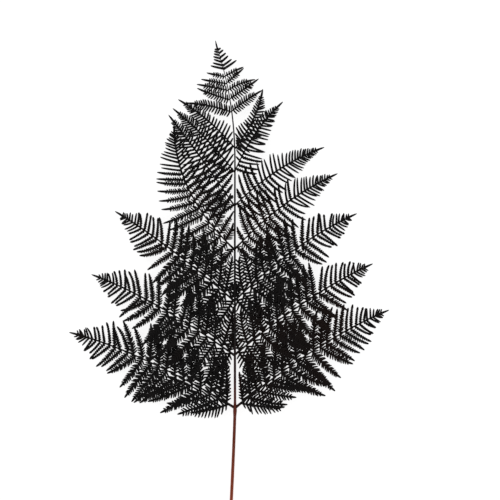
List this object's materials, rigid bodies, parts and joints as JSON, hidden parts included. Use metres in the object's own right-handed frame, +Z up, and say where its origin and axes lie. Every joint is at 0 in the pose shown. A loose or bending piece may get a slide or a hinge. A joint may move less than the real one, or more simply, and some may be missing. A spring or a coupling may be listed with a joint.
{
  "type": "bracken frond",
  "caption": "Cut and dried bracken frond, dyed black, with a red-brown stalk: a triangular blade of paired, finely cut pinnae that lies arched on a flat surface.",
  "frame": {"origin": "bottom centre of the bounding box, on the surface that the frond lies on", "axes": "+Y along the frond from its cut end to its tip, +X to the right seen from above with the tip away, +Z up from the surface"},
  "size_m": [0.3846, 0.601, 0.0323],
  "materials": {
    "stalk_skin": "dry red-brown stalk with a faint sheen",
    "dyed_leaf": "dry black-dyed leaf, near matte"
  },
  "bodies": {
    "root": {"stem": "stalk_skin", "basal_pinna_left": "dyed_leaf", "basal_pinna_right": "dyed_leaf", "second_pinna_left": "dyed_leaf", "second_pinna_right": "dyed_leaf", "upper_blade": "dyed_leaf"}
  },
  "joints": []
}
